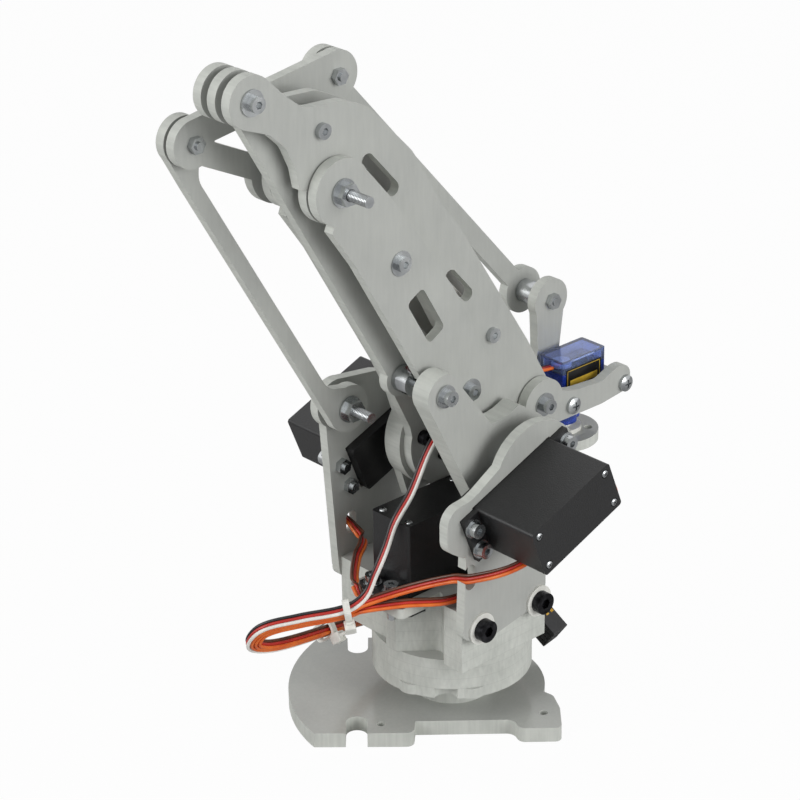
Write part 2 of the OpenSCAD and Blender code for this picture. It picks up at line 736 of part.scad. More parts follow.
// Elbow bolt: fixed in the lower arm; the forearm and the triangle swing on it
module elbow_bolt() color(zinc) {
    at(elbow, tri_y + sheet + 0.2 + washer_t, 1)
        socket_screw(m4_r, tri_y + sheet + 0.2 + washer_t - (lar_y - 13), m4_head_r, 3);
    sleeve(elbow, tri_y + sheet + 0.2, tri_y + sheet + 0.2 + washer_t, m4_washer_r, m4_r + grip);
    sleeve(elbow, lal_y + sheet, tri_y - 0.2, m4_washer_r + 1, m4_r + grip);
    at(elbow, lar_y) {
        washer(0, m4_washer_r, m4_r + grip);
        nut(washer_t, m4_nut_r, m4_nut_h, m4_r + grip);
    }
}

// ---- Drive link -------------------------------------------------------------
module drive_link() color(sheet_grey)
    difference() {
        plate(drive_y) {
            disc(rear, 9);
            disc(crank_end, 7);
            strip(rear, 4.5, crank_end, 4.5);
        }
        cut(drive_y) {
            disc(rear, m3_r + open_play);
            disc(crank_end, m3_r + run_fit);
        }
    }

// ---- Forearm ----------------------------------------------------------------
fore_end_r = 9;
fore_lobe_r = 12;
fore_standoffs = [on_fore([-19.2, 10.7]), near_wrist([-40, 5.2])];
module forearm_body()
    rounded(placed([[-crank_len, fore_end_r, 0], [11 - crank_len, 9.9, 0], [20 - crank_len, 11.6, 8],
        [-18.5, 23.5, 10],
        [-8, 28.2, 8], [20, 29.4, 14], [47, 24.4, 20], [61, 23.4, 30], [forearm_len - 22.3, 13.8, 0],
        [forearm_len, fore_end_r, 0], [forearm_len, -fore_end_r, 0], [80, -7.4, 20], [60, -2.6, 20],
            [50, 2.2, 6],
        [22, 2.2, 5], [13, -3, 0], [0, 0, 0], [-12.1, -8.6, 0], [-18.4, -4.9, 6], [-27.4, -2.2, 8],
        [14 - crank_len, -3, 8], [4 - crank_len, -8.1, 0], [-crank_len, 0, 0]],
        elbow, fore_u, fore_n));

module forearm_plate(y) difference() {
    plate(y) {
        disc(rear, fore_end_r);
        disc(elbow, fore_lobe_r);
        disc(wrist, fore_end_r);
        forearm_body();
    }
    cut(y) {
        disc(rear, m3_r + grip);
        disc(elbow, m4_r + run_fit);
        disc(wrist, m3_r + run_fit);
        for (p = fore_standoffs) disc(p, m3_r + bolt_play);
        slot(on_fore([5.75, 15.2]), on_fore([22.25, 15.2]), 5.5);
        slot(on_fore([69.65, 8.8]), on_fore([81.35, 8.8]), 5.3);
    }
}
module forearm_right() color(sheet_grey) forearm_plate(far_y);
module forearm_left() color(sheet_grey) forearm_plate(fal_y);

module forearm_standoffs() color(sheet_grey) {
    for (p = fore_standoffs) sleeve(p, far_y + sheet, fal_y, standoff_r, m3_r + grip);
    sleeve(elbow, far_y + sheet, fal_y, 4, m4_r + run_fit);
    sleeve(wrist, far_y + sheet, fal_y, 4, m3_r + run_fit);
}

module forearm_screws() color(zinc)
    for (p = fore_standoffs, s = [-1, 1]) at(p, s < 0 ? far_y : fal_y + sheet, s)
        socket_screw(m3_r, 8.5, m3_head_r, 2);

// Bolt at the forearm's tail, through the drive link
module rear_bolt() color(zinc) {
    at(rear, far_y) {
        washer(0, m3_washer_r, m3_r + grip);
        translate([0, 0, washer_t]) socket_screw(m3_r, fal_y + sheet + 4.6 - far_y, m3_head_r, m3_head_h);
    }
    at(rear, fal_y + sheet, 1) {
        washer(0, m3_washer_r, m3_r + grip);
        nut(washer_t, m3_nut_r, m3_nut_h, m3_r + grip);
    }
    sleeve(rear, far_y + sheet, drive_y - 0.3, 3, m3_r + grip);
    sleeve(rear, drive_y + sheet + 0.3, fal_y, 3, m3_r + grip);
}

// ---- Triangle, follower link, top link -----------------------------------------
tri_r1 = 8.5;
tri_r2 = 9;
module triangle() color(sheet_grey) {
    side = unit(elbow - follow_high);
    top = unit(level_high - follow_high);
    difference() {
        plate(tri_y) {
            disc(follow_high, tri_r1);
            disc(level_high, tri_r2);
            disc(elbow, fore_lobe_r);
            difference() {
                strip(follow_high, tri_r1 - tuck, level_high, tri_r2 - tuck);
                rounded(placed([[0, 2, 0], [norm(level_high - follow_high), 2, 0],
                    [norm(level_high - follow_high), 20, 0], [0, 20, 0]], follow_high, top, right_of(top)));
            }
            rounded(placed([[0, -2.4, 0], [follower_len, -2.4, 0], [follower_len, 6.1, 0], [0, 6.1, 0]],
                follow_high, side, right_of(side)));
            strip(level_high, 4.75, elbow, 4.75);
        }
        cut(tri_y) {
            disc(follow_high, m3_r + grip);
            disc(level_high, m3_r + grip);
            disc(elbow, m4_r + run_fit);
        }
    }
}

// Screws that the two links swing on, with a washer on each side
module triangle_screws() color(zinc)
    for (p = [follow_high, level_high]) {
        at(p, link_y + sheet + 0.2, 1) {
            washer(0, m3_washer_r, m3_r + grip);
            translate([0, 0, washer_t]) pan_screw(m3_r, link_y + sheet + 0.2 + washer_t - (tri_y - 3.2));
        }
        sleeve(p, tri_y + sheet, link_y - 0.2, m3_washer_r, m3_r + grip);
        at(p, tri_y) nut(0, m3_nut_r, m3_nut_h, m3_r + grip);
    }

module follower_link() color(sheet_grey)
    difference() {
        plate(link_y) {
            disc(follow_low, 9);
            disc(follow_high, tri_r1);
            rounded(placed([[0, -8.9, 0], [lower_len - 16, -8.7, 8], [lower_len - 1, -8.4, 0],
                [lower_len, 0, 0],
                [lower_len - 1, 5, 0], [lower_len - 9, 1.5, 4], [lower_len - 16, -3.2, 8], [14, -3.2, 8],
                    [4, 8, 0], [0, 0, 0]],
                follow_low, arm_u, arm_d));
        }
        cut(link_y) {
            disc(follow_low, m4_r + run_fit);
            disc(follow_high, m3_r + open_play);
        }
    }

top_w = 7.2;
module top_link() color(sheet_grey)
    difference() {
        plate(link_y) {
            disc(level_high, 9);
            disc(level_low, 9);
            strip(level_high, top_w / 2, level_low, top_w / 2);
        }
        cut(link_y) {
            disc(level_high, m3_r + run_fit);
            disc(level_low, m3_r + open_play);
        }
    }

// ---- Wrist ------------------------------------------------------------------
wrist_end_r = 9.7;
bar_w = 5;
bar_z = -5.2;                                    // bars' middle below the wrist axis
bar_out = micro_hole_l / 2 + 0.3;                // bars' middles from the servo's middle
bar_front = micro_x + bar_out;
bar_at = [for (m = [-1, 1]) wrist + [micro_x + m * bar_out, bar_z]];
module bracket_low() {
    b = bar_front;
    rounded(placed([[0, 0, 0], [0, wrist_end_r, 0], [5.5, 8, 4], [9, 2.6, 0], [15.6, 0.4, 20],
        [b - 12.4, -0.8, 6],
        [b - 4.3, 2.4, 6], [b + 3.1, 2.6, 5], [b + 3.1, -8, 5], [b - 1.3, -8.6, 8], [b - 12.2, -9.9, 12],
        [0, -wrist_end_r, 0]], wrist, [1, 0], [0, 1]));
}
module bracket_holes() {
    disc(wrist, m3_r + grip);
    for (p = bar_at) disc(p, m3_r + bolt_play);
}

module bracket_right() color(sheet_grey)
    difference() {
        plate(lar_y) {
            disc(wrist, wrist_end_r);
            bracket_low();
        }
        cut(lar_y) bracket_holes();
    }

module bracket_left() color(sheet_grey)
    difference() {
        plate(bracket_y) {
            disc(wrist, wrist_end_r);
            bracket_low();
            disc(level_low, 8.5);
            rounded(placed([level_corner(-8.5, 1.5), level_corner(-7.6, -3), [20.1, 7.7, 6], [18, -3, 0],
                [33, -3, 0],
                [31.4, 5, 0], [32.9, 16, 20], level_corner(7.6, 1.6), level_corner(0, 0)], wrist, [1, 0],
                    [0, 1]));
        }
        cut(bracket_y) {
            bracket_holes();
            disc(level_low, m3_r + grip);
        }
    }
function level_corner(x, z) = let(q = level_low - wrist) [q[0] + x, q[1] + z, 0];

module bracket_bars() color(sheet_grey)
    difference() {
        for (p = bar_at) translate([shoulder_x + p[0] - bar_w / 2, lar_y + sheet, shoulder_z
            + p[1] - bar_w / 2])
            cube([bar_w, bracket_y - lar_y - sheet, bar_w]);
        for (p = bar_at) {
            bar(p, lar_y, lar_y + sheet + 6.3, m3_r + grip);
            bar(p, bracket_y - 6.3, bracket_y + 1, m3_r + grip);
        }
        micro_ear_holes() translate([0, 0, -1]) cylinder(h = 4.5, r = micro_screw_r + grip);
    }

module bracket_screws() color(zinc) {
    for (p = bar_at, s = [-1, 1]) at(p, s < 0 ? lar_y : bracket_y + sheet, s) pan_screw(m3_r, sheet + 6);
    micro_ear_holes() translate([0, 0, -micro_ear_t]) rotate([180, 0, 0]) {
        cylinder(h = 1.4, r = 1.9);
        translate([0, 0, -5]) cylinder(h = 5.1, r = micro_screw_r);
    }
}

module wrist_bolt() color(zinc) {
    at(wrist, lar_y) {
        washer(0, m3_washer_r, m3_r + grip);
        translate([0, 0, washer_t]) socket_screw(m3_r, bracket_y + sheet + 4.4 - lar_y, m3_head_r,
            m3_head_h);
    }
    at(wrist, bracket_y + sheet, 1) {
        washer(0, m3_washer_r, m3_r + grip);
        nut(washer_t, m3_nut_r, m3_nut_h, m3_r + grip);
    }
}

module level_bolt() color(zinc) {
    at(level_low, link_y + sheet + 0.2, 1) {
        washer(0, m3_washer_r, m3_r + grip);
        translate([0, 0, washer_t]) socket_screw(m3_r, link_y + sheet + washer_t - bracket_y + 3,
            m3_head_r, m3_head_h);
    }
    sleeve(level_low, bracket_y + sheet, link_y - 0.2, m3_washer_r, m3_r + grip);
    at(level_low, bracket_y) nut(0, m3_nut_r, m3_nut_h, m3_r + grip);
}

// Wrist servo, hung below the bars with its output down
micro_seat = shoulder_z + wrist[1] + bar_z - bar_w / 2;
micro_shaft = 5.9;                               // output shaft to the nearer end
micro_back = -micro_shaft;
micro_ear_t = 2.5;
micro_screw_r = 0.93;
micro_mid = micro_back + micro_l / 2;
tool_x = shoulder_x + wrist[0] + micro_x - micro_mid;
module micro_place() translate([tool_x, mid_y, micro_seat]) children();
module micro_ear_holes()
    micro_place() for (m = [-1, 1]) translate([micro_mid + m * micro_hole_l / 2, 0, 0]) children();

module micro_box(z0, z1, g = 0)
    translate([0, 0, z0]) linear_extrude(z1 - z0)
        rounded([[micro_back - g, -micro_w / 2 - g, 0.8], [micro_back + micro_l + g, -micro_w / 2 - g, 0.8],
            [micro_back + micro_l + g, micro_w / 2 + g, 0.8], [micro_back - g, micro_w / 2 + g, 0.8]]);

micro_cover = 5;
micro_end = micro_ear_h - micro_h;
micro_boss_h = 4;
spline_r = 2.3;
horn_drop = 3.3;                                 // boss to the horn's flange
module wrist_servo_case() color(case_blue, 0.85)
    micro_place() difference() {
        union() {
            micro_box(micro_end, micro_ear_h - micro_cover);
            translate([micro_mid - micro_ear_l / 2, -micro_w / 2 + 0.3, -micro_ear_t])
                cube([micro_ear_l, micro_w - 0.6, micro_ear_t]);
            translate([0, 0, micro_end - micro_boss_h]) cylinder(h = micro_boss_h + 0.1, r = 5.8);
            translate([5.5, 0, micro_end - micro_boss_h]) cylinder(h = micro_boss_h + 0.1, r = 3);
        }
        micro_box(micro_end + 6, micro_ear_h, -1.2);
        translate([0, 0, micro_end - 5]) cylinder(h = 8, r = spline_r + run_fit);
        for (m = [-1, 1]) translate([micro_mid + m * micro_hole_l / 2, 0, -4]) cylinder(h = 5, r = 1.1);
    }

module wrist_servo_cover() color(case_blue, 0.85)
    micro_place() difference() {
        micro_box(micro_ear_h - micro_cover, micro_ear_h);
        micro_box(micro_ear_h - micro_cover - 1, micro_ear_h - 1.2, -1.2);
    }

tool_z = micro_seat + micro_end - micro_boss_h - horn_drop;
module wrist_output() color(nylon_white)
    translate([tool_x, mid_y, tool_z]) {
        cylinder(h = 5.5, r = spline_r);
        cylinder(h = 3, r = 3.6);
        cylinder(h = 1.6, r = 7.5);
    }

tool_t = 4;
module tool_disc() color(sheet_grey)
    translate([tool_x, mid_y, tool_z - tool_t]) difference() {
        cylinder(h = tool_t, r = tool_r);
        for (a = [45 : 90 : 315]) rotate([0, 0, a]) translate([tool_pcd / 2, 0, -1])
            cylinder(h = tool_t + 2, r = tool_hole_r);
        translate([0, 0, -1]) cylinder(h = tool_t + 2, r = 1.2);
    }

// ---- Servo leads -----------------------------------------------------------------
// Each lead is a flat ribbon of three wires.  The four meet at the first tie,
// go round one loop together, and end in plugs beside the ring.
wire_d = 1.3;
lead_w = 3 * wire_d;
lead_pitch = 1.5;
plug_w = 7.7;
plug_t = 2.6;
plug_l = 14;
plug_gap = 0.5;
loop_axis = unit([-43, -63, -54]);
bundle = [[-50, 2, 56], [-64, 12, 53.5], [-74, 20.5, 50], [-75, 25, 43], [-64, 26, 37.5], [-38, 28.5, 32],
    [-12, 35.5, 24], [20, 33, 21], [38, 13, 25], [40.3, 4.5, 27], [41.2, -1, 22.8]];
bundle_end = len(bundle) - 1;
tie_at = [0, 5];
right_path = [[19.3, -60, 107.9], [22.4, -60, 101.6], [23.1, -59, 97.5], [14, -56, 92.4], [0, -53, 87],
    [-16, -49, 81], [-24.5, -36, 74.5], [-26, -28, 72], [-34, -14, 65.6], [-45.5, -2.5, 59.6]];
base_path = [[11.9, -5.4, 80.6], [17, -9, 78], [15, -18, 66], [-2, -25, 61.5], [-24, -25, 61.5],
    [-36, -14, 60.3],
    [-45, -3.5, 57.6]];
left_path = [[19.3, 60, 107.9], [22.4, 60, 101.6], [23.1, 59, 97.5], [14, 56, 92.4], [0, 52, 87],
    [-14, 45, 80],
    [-21, 38, 73.5], [-21.4, 30, 69.5], [-23, 23, 67], [-31, 17.5, 65], [-39.2, 9.8, 61.6],
        [-43.6, 1.8, 55.8]];
wrist_path = [[-4, -3, 118], [-14, -4, 111.5], [-23.5, -4, 96.5], [-31.6, -4, 87.6], [-36, -4, 79],
    [-41, -3.5, 70],
    [-44.5, -1.9, 61.9]];

function tangent(r, i) = unit(r[min(i + 1, len(r) - 1)] - r[max(i - 1, 0)]);
function square_to(t, v) = unit(v - (v * t) * t);
function stack_dir(i) = let(t = tangent(bundle, i)) cross(t, square_to(t, loop_axis));
// The plugs are thicker than the leads, which spread towards them
function pitch_at(i) = i < bundle_end - 1 ? lead_pitch : i < bundle_end ? 2.1 : plug_t + 0.2;
// Each lead has its place in the stack, counted from the inside of the loop
function lead_route(path, place) = concat(path,
    [for (i = [0 : bundle_end]) bundle[i] + place * pitch_at(i) * stack_dir(i)]);
// Direction of the ribbon's width, from its first one round to the loop's axis
function width_hint(first, i, n) = i < n ? first + (loop_axis - first) * i / n : loop_axis;

// Ribbon along a route: eight points a ring, wide across and thin between faces
module ribbon(route, first, blend) {
    n = len(route);
    rings = [for (i = [0 : n - 1]) let(t = tangent(route, i), w = square_to(t,
        width_hint(first, i, blend)), v = cross(t, w))
        each [for (k = [0 : 7]) route[i] + lead_w / 2 * cos(45 * k) * w + wire_d / 2 * sin(45 * k) * v]];
    sides = [for (i = [0 : n - 2], k = [0 : 7]) let(a = 8 * i + k, b = 8 * i + (k + 1) % 8)
        each [[a, a + 8, b + 8], [a, b + 8, b]]];
    polyhedron(rings, concat([[for (k = [0 : 7]) k]], sides, [[for (k = [7 : -1 : 0]) 8 * (n - 1) + k]]));
}

places = [-1.5, -0.5, 0.5, 1.5];
level_hint = [0, -1, 0];
module lead(path, place) color(lead_orange) ribbon(lead_route(path, place), level_hint, len(path));
module lead_wrist() lead(wrist_path, places[3]);
module lead_base() lead(base_path, places[1]);
module lead_right() lead(right_path, places[2]);
module lead_left() lead(left_path, places[0]);

// Places something at a point of the bundle: X across the leads, Z along them
module on_bundle(i) {
    t = tangent(bundle, i);
    w = square_to(t, loop_axis);
    v = cross(t, w);
    p = bundle[i];
    multmatrix([[w[0], v[0], t[0], p[0]], [w[1], v[1], t[1], p[1]], [w[2], v[2], t[2], p[2]],
        [0, 0, 0, 1]]) children();
}

module lead_plugs() color(plug_black)
    for (k = places) on_bundle(bundle_end)
        translate([-plug_w / 2, k * (plug_t + 0.2) - plug_t / 2, plug_gap]) cube([plug_w, plug_t, plug_l]);

tie_w = 2.5;
tie_t = 1;
module cable_ties() color(nylon_white)
    for (i = tie_at) on_bundle(i) {
        x = lead_w / 2 + 0.5;
        y = 2 * lead_pitch + 0.6;
        difference() {
            translate([-x - tie_t, -y - tie_t, -tie_w / 2]) cube([2 * (x + tie_t), 2 * (y + tie_t), tie_w]);
            translate([-x, -y, -tie_w]) cube([2 * x, 2 * y, 2 * tie_w]);
        }
        translate([x, -y - tie_t - 2, -2]) cube([4, 4.5, 4]);
    }

// The wrist servo's lead inside the arm, in the plates' own coordinates
module held_lead(points) color(lead_orange)
    ribbon([for (p = points) [shoulder_x + p[0], mid_y, shoulder_z + p[1]]], level_hint, len(points) + 1);
module wrist_lead_lower() held_lead([on_arm([18, -1]), on_arm([60, -2]), near_elbow([-50, -2]),
    near_elbow([-8, 0])]);
module wrist_lead_fore()
    held_lead([on_fore([8, 7]), on_fore([50, 9]), near_wrist([-40, 9.2]), near_wrist([-4, 9.5])]);
module wrist_lead_bracket()
    held_lead([wrist + [8.5, 6.5], wrist + [13, 5.5], wrist + [micro_x - micro_l / 2 - 0.4, 5]]);

base_plate();
column();
column_screws();
base_output();
turret_ring();
turret_deck();
side_plate_right();
side_plate_left();
side_bolts();
nylon_washers();
follower_bolt();
base_servo_case();
right_servo_case();
left_servo_case();
servo_covers();
servo_motors();
servo_screws();
lead_base();
lead_right();
lead_left();
lead_wrist();
lead_plugs();
cable_ties();
crank_output();
crank();
crank_screws();
shoulder_pin();
crank_pin();
lower_arm_output();
lower_arm_hub();
lower_arm_right();
lower_arm_left();
hub_bolts();
lower_arm_standoffs();
lower_arm_screws();
elbow_bolt();
wrist_lead_lower();
wrist_lead_fore();
wrist_lead_bracket();
drive_link();
forearm_right();
forearm_left();
forearm_standoffs();
forearm_screws();
rear_bolt();
triangle();
triangle_screws();
follower_link();
top_link();
bracket_right();
bracket_left();
bracket_bars();
bracket_screws();
wrist_bolt();
level_bolt();
wrist_servo_case();
wrist_servo_cover();
wrist_output();
tool_disc();
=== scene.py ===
"""Looks for a desktop parallel-link robot arm, cut from grey plastic sheet and driven by
hobby servos.  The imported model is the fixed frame; this dresses it, lights it and aims
the camera.  Lengths are in metres, and points given in millimetres go through mm()."""

import math

import bmesh
import bpy
from mathutils import Matrix, Vector


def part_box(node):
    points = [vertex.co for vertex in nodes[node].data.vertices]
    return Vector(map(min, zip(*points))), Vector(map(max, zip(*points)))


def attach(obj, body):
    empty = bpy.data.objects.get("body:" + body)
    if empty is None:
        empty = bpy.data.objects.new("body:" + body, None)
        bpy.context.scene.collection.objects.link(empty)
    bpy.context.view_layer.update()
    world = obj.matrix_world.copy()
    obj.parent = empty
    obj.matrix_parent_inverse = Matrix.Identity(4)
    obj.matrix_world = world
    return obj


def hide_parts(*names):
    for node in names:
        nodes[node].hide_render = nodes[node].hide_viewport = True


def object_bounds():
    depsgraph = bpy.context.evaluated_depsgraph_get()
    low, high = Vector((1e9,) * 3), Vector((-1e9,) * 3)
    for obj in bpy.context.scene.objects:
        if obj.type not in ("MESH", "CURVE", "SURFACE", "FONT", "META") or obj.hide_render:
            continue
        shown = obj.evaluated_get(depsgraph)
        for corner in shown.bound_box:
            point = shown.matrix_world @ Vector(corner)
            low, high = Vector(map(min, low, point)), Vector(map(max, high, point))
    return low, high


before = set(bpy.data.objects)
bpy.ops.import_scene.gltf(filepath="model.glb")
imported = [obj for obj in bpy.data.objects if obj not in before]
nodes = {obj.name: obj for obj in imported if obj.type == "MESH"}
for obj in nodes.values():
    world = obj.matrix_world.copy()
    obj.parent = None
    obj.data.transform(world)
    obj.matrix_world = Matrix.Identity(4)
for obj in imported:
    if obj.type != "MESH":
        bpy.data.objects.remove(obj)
cad_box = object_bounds()


def mm(*numbers):
    """A point or length given in millimetres, in metres."""
    return Vector(numbers) / 1000 if len(numbers) > 1 else numbers[0] / 1000


# The right servo's output, from which the camera and the servos' screws are placed
shoulder = mm(8.7, -35.3, 103.7)


# ---- Camera -----------------------------------------------------------------
def aim_camera():
    """A long lens, from above the arm's right rear corner."""
    turn, pitch, roll = (math.radians(a) for a in (47.674, 25.114, 0.921))
    ahead = Vector((math.cos(turn) * math.cos(pitch), math.sin(turn) * math.cos(pitch),
                    -math.sin(pitch)))
    level = Vector((math.sin(turn), -math.cos(turn), 0))
    down = ahead.cross(level)
    side = level * math.cos(roll) + down * math.sin(roll)
    low = down * math.cos(roll) - level * math.sin(roll)
    aside, lower, distance = 0.048681, 0.026568, 0.94511
    eye = shoulder - side * aside - low * lower - ahead * distance
    lens = bpy.data.cameras.new("lens")
    lens.sensor_width = 36
    lens.lens = 119.5
    lens.clip_end = 20
    camera = bpy.data.objects.new("camera", lens)
    camera.matrix_world = Matrix((
        (side.x, -low.x, -ahead.x, eye.x),
        (side.y, -low.y, -ahead.y, eye.y),
        (side.z, -low.z, -ahead.z, eye.z),
        (0, 0, 0, 1)))
    bpy.context.scene.collection.objects.link(camera)
    bpy.context.scene.camera = camera


aim_camera()


# ---- Materials --------------------------------------------------------------
def linear(code):
    """An sRGB hex colour as linear red, green, blue and alpha."""
    parts = [int(code[i:i + 2], 16) / 255 for i in (1, 3, 5)]
    return [p / 12.92 if p <= 0.04045 else ((p + 0.055) / 1.055) ** 2.4
            for p in parts] + [1.0]


def add_node(owner, kind, inputs, **settings):
    """Adds a node to a material or world.  Inputs are keyed by socket name or number: a
    value, or a socket to link."""
    node = owner.node_tree.nodes.new("ShaderNode" + kind)
    for name, value in settings.items():
        setattr(node, name, value)
    for socket, value in inputs.items():
        if isinstance(value, bpy.types.NodeSocket):
            owner.node_tree.links.new(value, node.inputs[socket])
        else:
            node.inputs[socket].default_value = value
    return node


def start_finish(name, values):
    """A new material with these values on its shader; returns it, its shader and its
    coordinates."""
    material = bpy.data.materials.new(name)
    material.use_nodes = True
    shader = material.node_tree.nodes["Principled BSDF"]
    for socket, value in values.items():
        shader.inputs[socket].default_value = value
    place = add_node(material, "TexCoord", {})
    return material, shader, place


def join(material, source, shader, socket):
    material.node_tree.links.new(source, shader.inputs[socket])


def mottled(material, place, dark, light, size, detail=3.0, stretch=(1, 1, 1)):
    """Two close shades in soft patches of the given size; returns colour and noise."""
    # Noise seldom leaves these bounds
    low, high = 0.3, 0.7
    shape = add_node(material, "Mapping", {"Vector": place.outputs["Object"], "Scale": stretch})
    noise = add_node(material, "TexNoise", {"Vector": shape.outputs[0], "Scale": 1 / size,
                                            "Detail": detail})
    spread = add_node(material, "MapRange", {0: noise.outputs[0], 1: low, 2: high})
    mix = add_node(material, "Mix", {0: spread.outputs[0], 6: linear(dark), 7: linear(light)},
                   data_type="RGBA")
    return mix.outputs[2], spread.outputs[0]


def grey_sheet(name, face_axis, roughness=0.34, layer=0.0, layer_from=0.0):
    """Rigid PVC sheet, router cut.  Its flat faces are satin with faint rub marks; its cut
    edges are streaked across their thickness by the cutter and painted paler, a painted
    highlight for the light they catch.  Where sheets are glued into a block, a faint line
    shows at each joint, the first at height layer_from."""
    flat_normal = 0.8
    rub_share, haze_share = 0.22, 0.45
    joint_width, joint_depth = 0.06, 0.18
    rub_height = 0.12
    material, shader, place = start_finish(name, {"IOR": 1.53, "Specular IOR Level": 0.5})
    normal = add_node(material, "SeparateXYZ", {0: place.outputs["Normal"]})
    facing = add_node(material, "Math", {0: normal.outputs[face_axis]}, operation="ABSOLUTE")
    is_face = add_node(material, "Math", {0: facing.outputs[0], 1: flat_normal},
                       operation="GREATER_THAN").outputs[0]
    # Cloudy shade changes about 22 mm across, and rub marks 1 mm wide and 9 mm long
    cloud, _ = mottled(material, place, "#acaeaa", "#b8bab5", 0.022)
    rubbed, rubs = mottled(material, place, "#a4a6a2", "#babcb7", 0.0011, 6.0,
                           (1.0, 1.0, 0.12))
    face = add_node(material, "Mix", {0: rub_share, 6: cloud, 7: rubbed}, data_type="RGBA")
    # Cutter marks 1.3 mm apart, running across the sheet's thickness, under a 12 mm haze;
    # a sanded block keeps only short ones
    across = [1.0, 1.0, 1.0]
    across[face_axis] = 0.35 if layer else 0.05
    # The edge shades are paler than the faces': a painted highlight for the light the cut edges
    # catch from above
    edge_with_highlight, marks = mottled(material, place, "#bfc2bc", "#d5d8d1", 0.0013, 4.0, across)
    haze, _ = mottled(material, place, "#abaea8", "#cfd1cb", 0.012)
    edge_with_highlight = add_node(material, "Mix", {0: haze_share, 6: edge_with_highlight, 7: haze},
                    data_type="RGBA").outputs[2]
    if layer:
        spot = add_node(material, "SeparateXYZ", {0: place.outputs["Object"]})
        height = add_node(material, "Math", {0: spot.outputs[face_axis], 1: layer_from},
                          operation="SUBTRACT")
        turns = add_node(material, "Math", {0: height.outputs[0], 1: layer}, operation="DIVIDE")
        part = add_node(material, "Math", {0: turns.outputs[0]}, operation="FRACT")
        line = add_node(material, "Math", {0: part.outputs[0], 1: joint_width},
                        operation="LESS_THAN")
        faint = add_node(material, "Math", {0: line.outputs[0], 1: joint_depth},
                         operation="MULTIPLY")
        edge_with_highlight = add_node(material, "Mix", {0: faint.outputs[0], 6: edge_with_highlight, 7: linear("#8b908a")},
                        data_type="RGBA").outputs[2]
    colour = add_node(material, "Mix", {0: is_face, 6: edge_with_highlight, 7: face.outputs[2]},
                      data_type="RGBA")
    join(material, colour.outputs[2], shader, "Base Color")
    rough_face = add_node(material, "MapRange", {0: rubs, 3: roughness, 4: roughness + 0.1})
    rough = add_node(material, "Mix", {0: is_face, 2: 0.55, 3: rough_face.outputs[0]})
    join(material, rough.outputs[0], shader, "Roughness")
    low_rubs = add_node(material, "Math", {0: rubs, 1: rub_height}, operation="MULTIPLY")
    height = add_node(material, "Mix", {0: is_face, 2: marks, 3: low_rubs.outputs[0]})
    bump = add_node(material, "Bump", {"Strength": 0.3, "Distance": mm(0.08),
                                       "Height": height.outputs[0]})
    join(material, bump.outputs[0], shader, "Normal")
    return material


def servo_nylon():
    """Glass-filled nylon, moulded in an eroded tool: near black with a fine even grit, and
    a thin seam where the bottom cover meets the case."""
    material, shader, place = start_finish("servo_nylon", {"IOR": 1.53, "Roughness": 0.4})
    # The bottom covers of the side servos lie 57.3 mm from the middle, and that of the base
    # servo 80.2 mm up; a seam is 0.4 mm wide
    side_at, top_at, seam_half = 0.0573, 0.0802, 0.0002
    # Grit of 0.25 mm, drawn at 0.5 mm so that it shows
    colour, grit = mottled(material, place, "#09090a", "#131315", 0.0005, 2.0)
    spot = add_node(material, "SeparateXYZ", {0: place.outputs["Object"]})
    side = add_node(material, "Math", {0: spot.outputs[1]}, operation="ABSOLUTE")
    side_seam = add_node(material, "Math", {0: side.outputs[0], 1: side_at, 2: seam_half},
                         operation="COMPARE")
    top_seam = add_node(material, "Math", {0: spot.outputs[2], 1: top_at, 2: seam_half},
                        operation="COMPARE")
    seam = add_node(material, "Math", {0: side_seam.outputs[0], 1: top_seam.outputs[0]},
                    operation="MAXIMUM").outputs[0]
    dark = add_node(material, "Mix", {0: seam, 6: colour, 7: linear("#050506")},
                    data_type="RGBA")
    join(material, dark.outputs[2], shader, "Base Color")
    height = add_node(material, "Math", {0: grit, 1: seam}, operation="SUBTRACT")
    bump = add_node(material, "Bump", {"Strength": 0.35, "Distance": mm(0.1),
                                       "Height": height.outputs[0]})
    join(material, bump.outputs[0], shader, "Normal")
    return material


